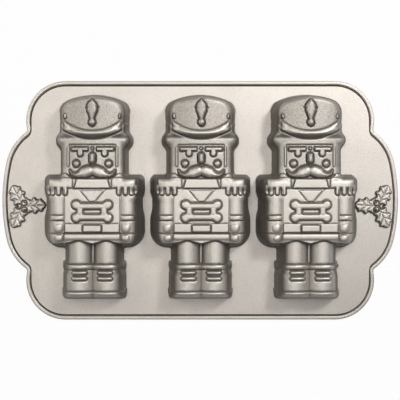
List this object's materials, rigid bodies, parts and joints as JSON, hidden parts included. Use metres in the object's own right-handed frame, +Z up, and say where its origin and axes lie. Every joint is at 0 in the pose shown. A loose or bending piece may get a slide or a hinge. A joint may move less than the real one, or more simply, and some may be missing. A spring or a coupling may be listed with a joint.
{
  "type": "cake pan",
  "caption": "Cast cake pan with soldier-shaped moulds side by side in a flat deck, a beaded rim and a grip with a holly relief at each end, lying mouth down.",
  "frame": {"origin": "middle of the plane that the rim's lip lies on, with the pan mouth down", "axes": "+Z up out of the moulds' backs, +X along the pan to the right-hand grip, +Y from the boots to the hats"},
  "size_m": [0.365, 0.22, 0.0391],
  "materials": {
    "cast_metal": "satin pearl-grey coating over a fine blasted grain"
  },
  "bodies": {
    "root": {"deck": "cast_metal", "rim": "cast_metal", "mould_left": "cast_metal", "mould_centre": "cast_metal", "mould_right": "cast_metal", "holly_left": "cast_metal", "holly_right": "cast_metal"}
  },
  "joints": []
}
